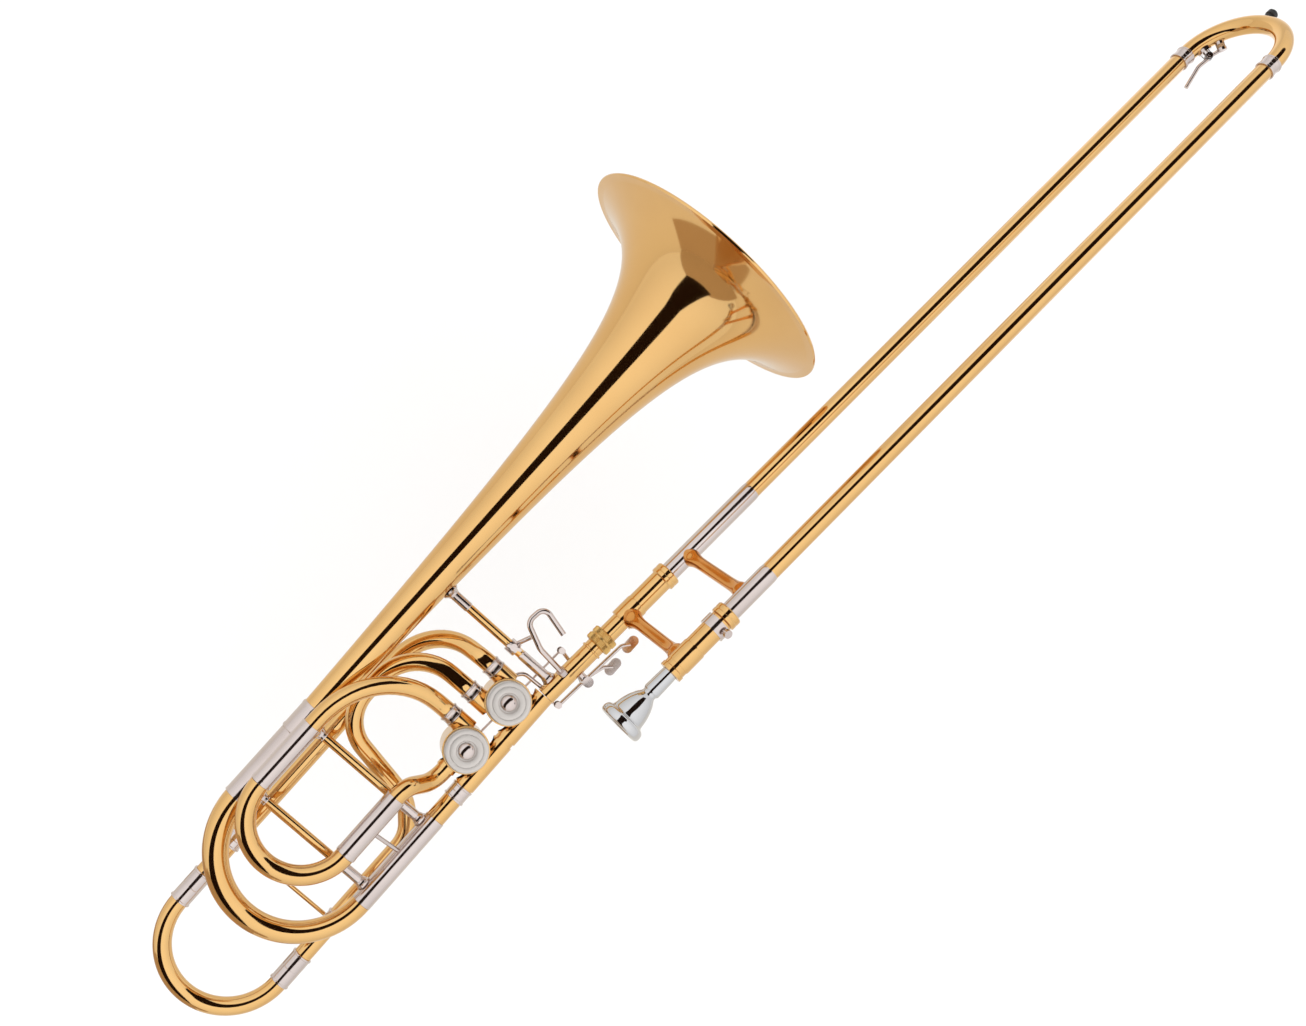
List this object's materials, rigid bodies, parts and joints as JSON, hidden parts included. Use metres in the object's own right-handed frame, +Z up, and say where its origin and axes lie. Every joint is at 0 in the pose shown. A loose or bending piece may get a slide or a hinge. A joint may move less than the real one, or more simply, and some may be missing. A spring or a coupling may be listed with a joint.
{
  "type": "bass trombone",
  "caption": "Bass trombone with a wide flared bell, a long double-tube hand slide, in-line rotary valves on the neckpipe and looped tuning slides.",
  "frame": {"origin": "on the axis of the hand slide's neck-side tube, at the joint between the hand slide and the bell section, where the left hand grips", "axes": "+X along the hand slide towards its bow, +Y towards the bell, +Z up, away from the thumb levers"},
  "size_m": [1.2695, 0.3419, 0.2412],
  "materials": {
    "gold_lacquer": "clear gold lacquer on polished yellow brass",
    "rose_lacquer": "clear lacquer on polished red brass",
    "nickel_silver": "polished nickel silver",
    "bare_nickel_silver": "honed and chrome-bright inner metal",
    "silver_plate": "bright silver plate",
    "black_rubber": "moulded rubber",
    "cork": "natural cork"
  },
  "bodies": {
    "bell_section": {"bearing_plates": "bare_nickel_silver", "bell": "gold_lacquer", "bell_leg_sleeve": "nickel_silver", "brace_ends": "nickel_silver", "brace_tubes": "gold_lacquer", "d_loop_return_tube": "gold_lacquer", "d_loop_tube": "gold_lacquer", "d_slide_sleeves": "nickel_silver", "f_loop_lower_tube": "gold_lacquer", "f_loop_upper_tube": "gold_lacquer", "hand_rest": "nickel_silver", "hand_rest_clamp": "nickel_silver", "inner_slide_brace": "rose_lacquer", "inner_slide_tubes": "bare_nickel_silver", "leadpipe": "bare_nickel_silver", "lever_pivot_rod": "nickel_silver", "lever_saddle": "nickel_silver", "mouth_cork_barrel": "gold_lacquer", "neck_cork_barrel": "gold_lacquer", "neck_leg_sleeve": "nickel_silver", "neck_leg_tube": "gold_lacquer", "neckpipe": "gold_lacquer", "neckpipe_ring": "gold_lacquer", "thin_stays": "nickel_silver", "valve_caps": "nickel_silver", "valve_casing_1": "gold_lacquer", "valve_casing_2": "gold_lacquer", "valve_ferrules": "nickel_silver", "valve_joint_tube": "gold_lacquer"},
    "hand_slide": {"outer_slide_tubes": "gold_lacquer", "slide_sleeves": "nickel_silver", "outer_slide_brace": "rose_lacquer", "slide_bow": "gold_lacquer", "slide_bow_ferrules": "nickel_silver", "slide_bumper": "black_rubber", "water_key_saddle": "nickel_silver", "water_key_pin": "nickel_silver"},
    "water_key_lever": {"water_key": "nickel_silver", "water_key_cork": "cork"},
    "slide_lock": {"slide_lock_ring": "nickel_silver"},
    "mouthpiece": {"mouthpiece": "silver_plate"},
    "lock_nut": {"lock_nut": "gold_lacquer"},
    "main_tuning_slide": {"tuning_bow": "gold_lacquer", "tuning_inner_tubes": "nickel_silver"},
    "f_tuning_slide": {"f_slide_bow": "gold_lacquer", "f_slide_legs": "gold_lacquer", "f_slide_inner_tubes": "nickel_silver", "f_slide_ferrules": "nickel_silver", "f_slide_stay": "gold_lacquer"},
    "d_tuning_slide": {"d_slide_bow": "gold_lacquer", "d_slide_inner_tubes": "nickel_silver"},
    "lever_1": {"thumb_lever_1": "nickel_silver"},
    "lever_2": {"thumb_lever_2": "nickel_silver"},
    "rotor_1": {"rotor_1": "bare_nickel_silver", "stop_arm_1": "nickel_silver"},
    "rotor_2": {"rotor_2": "bare_nickel_silver", "stop_arm_2": "nickel_silver"},
    "link_1": {"link_rod_1": "nickel_silver"},
    "link_2": {"link_rod_2": "nickel_silver"},
    "hand_rest_screw": {"hand_rest_screw": "nickel_silver"}
  },
  "joints": [
    {"name": "hand_slide_travel", "type": "slide", "parent": "bell_section", "child": "hand_slide", "axis": [1, 0, 0], "range_m": [0, 0.6]},
    {"name": "water_key_pivot", "type": "hinge", "parent": "hand_slide", "child": "water_key_lever", "pos_m": [0.75338, -0.0149, 0.00556], "axis": [0.2302, -0.2878, -0.9296], "range_deg": [0, 14], "stiffness_Nm_per_rad": 0.05, "springref_deg": -28.65},
    {"name": "slide_lock_turn", "type": "hinge", "parent": "bell_section", "child": "slide_lock", "pos_m": [0.061, -0.04438, 0.07876], "axis": [1, 0, 0], "range_deg": [0, 25]},
    {"name": "mouthpiece_pull", "type": "slide", "parent": "bell_section", "child": "mouthpiece", "axis": [-1, 0, 0], "range_m": [0, 0.035]},
    {"name": "lock_nut_turn", "type": "hinge", "parent": "bell_section", "child": "lock_nut", "pos_m": [-0.006, 0, 0], "axis": [1, 0, 0], "range_deg": [0, 540]},
    {"name": "main_tuning_pull", "type": "slide", "parent": "bell_section", "child": "main_tuning_slide", "axis": [-0.998, -0.0631, 0], "range_m": [0, 0.06]},
    {"name": "f_tuning_pull", "type": "slide", "parent": "bell_section", "child": "f_tuning_slide", "axis": [-0.998, -0.0631, 0], "range_m": [0, 0.045]},
    {"name": "d_tuning_pull", "type": "slide", "parent": "bell_section", "child": "d_tuning_slide", "axis": [-0.998, -0.0631, 0], "range_m": [0, 0.04]},
    {"name": "lever_1_press", "type": "hinge", "parent": "bell_section", "child": "lever_1", "pos_m": [-0.03923, -0.01676, -0.0145], "axis": [0, 0, 1], "range_deg": [0, 21.75], "stiffness_Nm_per_rad": 0.12, "springref_deg": -34.38},
    {"name": "lever_2_press", "type": "hinge", "parent": "bell_section", "child": "lever_2", "pos_m": [-0.03923, -0.01676, -0.0205], "axis": [0, 0, 1], "range_deg": [0, 21.75], "stiffness_Nm_per_rad": 0.12, "springref_deg": -34.38},
    {"name": "rotor_1_turn", "type": "hinge", "parent": "bell_section", "child": "rotor_1", "pos_m": [-0.09876, 0.02146, 0], "axis": [0, 0, 1], "range_deg": [-90, 0]},
    {"name": "rotor_2_turn", "type": "hinge", "parent": "bell_section", "child": "rotor_2", "pos_m": [-0.15065, 0.01817, 0], "axis": [0, 0, 1], "range_deg": [-90, 0]},
    {"name": "link_1_turn", "type": "hinge", "parent": "lever_1", "child": "link_1", "pos_m": [-0.07022, -0.01601, -0.022], "axis": [0, 0, 1], "range_deg": [-20.48, 0]},
    {"name": "link_2_turn", "type": "hinge", "parent": "lever_2", "child": "link_2", "pos_m": [-0.0353, 0.01399, -0.0302], "axis": [0, 0, 1], "range_deg": [-21.76, 0]},
    {"name": "hand_rest_screw_turn", "type": "hinge", "parent": "bell_section", "child": "hand_rest_screw", "pos_m": [-0.06344, 0.04924, 0.006], "axis": [0, 0, 1], "range_deg": [0, 180]}
  ],
  "couplings": [
    {"joint": "rotor_1_turn", "follows": "lever_1_press", "ratio": -4.1379},
    {"joint": "rotor_2_turn", "follows": "lever_2_press", "ratio": -4.1379},
    {"joint": "link_1_turn", "follows": "lever_1_press", "ratio": -0.941},
    {"joint": "link_2_turn", "follows": "lever_2_press", "ratio": -0.99988}
  ]
}
